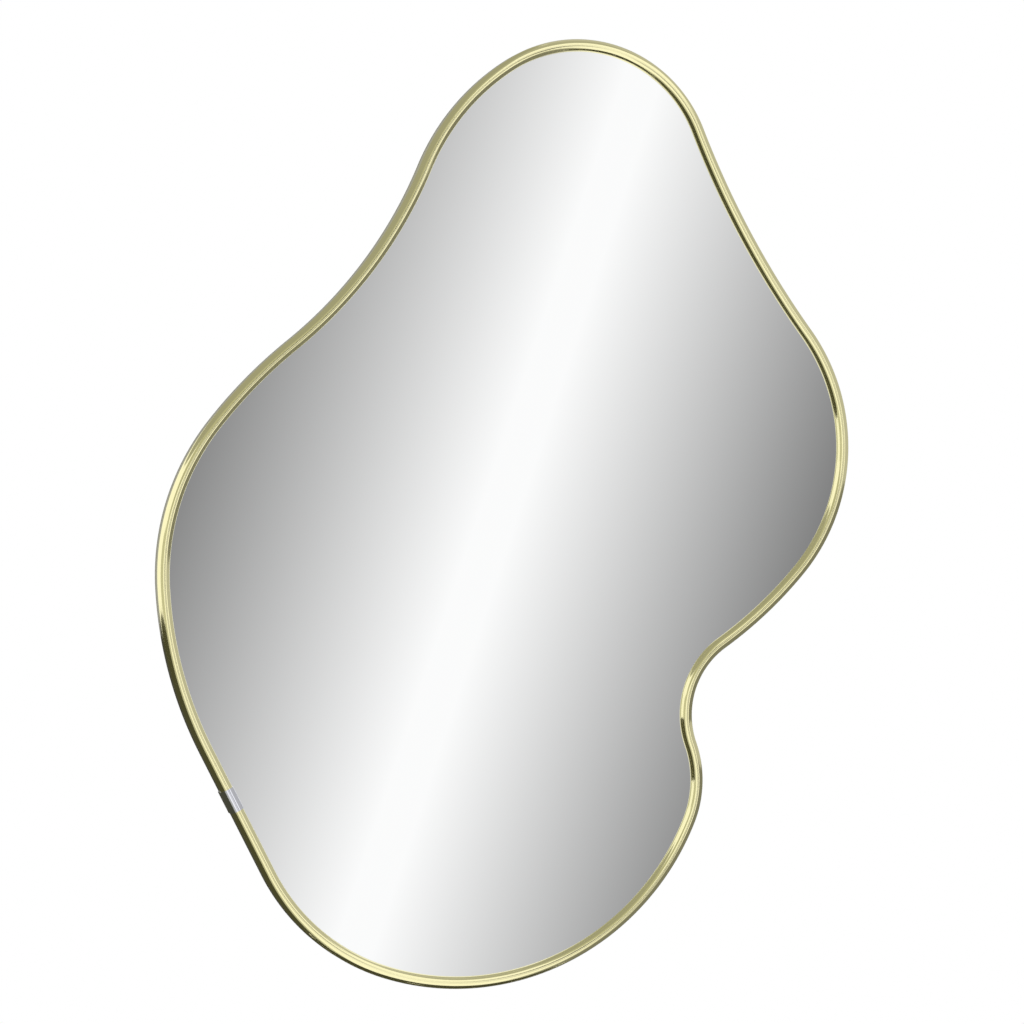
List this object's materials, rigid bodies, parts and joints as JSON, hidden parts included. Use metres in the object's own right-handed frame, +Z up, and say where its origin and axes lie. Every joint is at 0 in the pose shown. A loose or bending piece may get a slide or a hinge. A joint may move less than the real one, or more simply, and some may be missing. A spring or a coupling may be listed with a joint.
{
  "type": "irregular shaped mirror",
  "caption": "Wall mirror with a wavy irregular outline, a polished gold rail bent round it, a steel joint sleeve and hidden ring hangers.",
  "frame": {"origin": "on the wall's face, at the middle of the outline's width and height", "axes": "+Z up, +X to the right as the mirror is seen from the front, -Y out of the glass into the room"},
  "size_m": [0.5999, 0.0209, 0.7999],
  "materials": {
    "gold_rail": "polished, gold anodised",
    "polished_steel": "polished",
    "plain_steel": "plain",
    "silvered_glass": "silvered behind clear glass",
    "fibreboard": "raw fibreboard",
    "foam_tape": "closed cell foam",
    "spring_steel": "blued",
    "block_rubber": "matte",
    "zinc_steel": "zinc plated",
    "bumper_rubber": "matte"
  },
  "bodies": {
    "mirror": {"frame_rail": "gold_rail", "joint_sleeve": "polished_steel", "splice_key": "plain_steel", "splice_screws": "plain_steel", "mirror_glass": "silvered_glass", "backing_board": "fibreboard", "mounting_tape_1": "foam_tape", "mounting_tape_2": "foam_tape", "mounting_tape_3": "foam_tape", "mounting_tape_4": "foam_tape", "mounting_tape_5": "foam_tape", "retaining_spring_1": "spring_steel", "retaining_spring_2": "spring_steel", "retaining_spring_3": "spring_steel", "retaining_spring_4": "spring_steel", "retaining_spring_5": "spring_steel", "retaining_spring_6": "spring_steel", "retaining_spring_7": "spring_steel", "retaining_spring_8": "spring_steel", "setting_block_left": "block_rubber", "setting_block_right": "block_rubber", "hanger_strap_left": "zinc_steel", "hanger_strap_right": "zinc_steel", "hanger_screws": "zinc_steel", "wall_bumpers": "bumper_rubber"},
    "hanger_ring_left": {"hanger_ring_left": "zinc_steel"},
    "hanger_ring_right": {"hanger_ring_right": "zinc_steel"}
  },
  "joints": [
    {"name": "ring_swing_left", "type": "hinge", "parent": "mirror", "child": "hanger_ring_left", "pos_m": [-0.122, -0.00322, 0.15], "axis": [1, 0, 0], "range_deg": [0, 176]},
    {"name": "ring_swing_right", "type": "hinge", "parent": "mirror", "child": "hanger_ring_right", "pos_m": [0.118, -0.00322, 0.15], "axis": [1, 0, 0], "range_deg": [0, 176]}
  ]
}
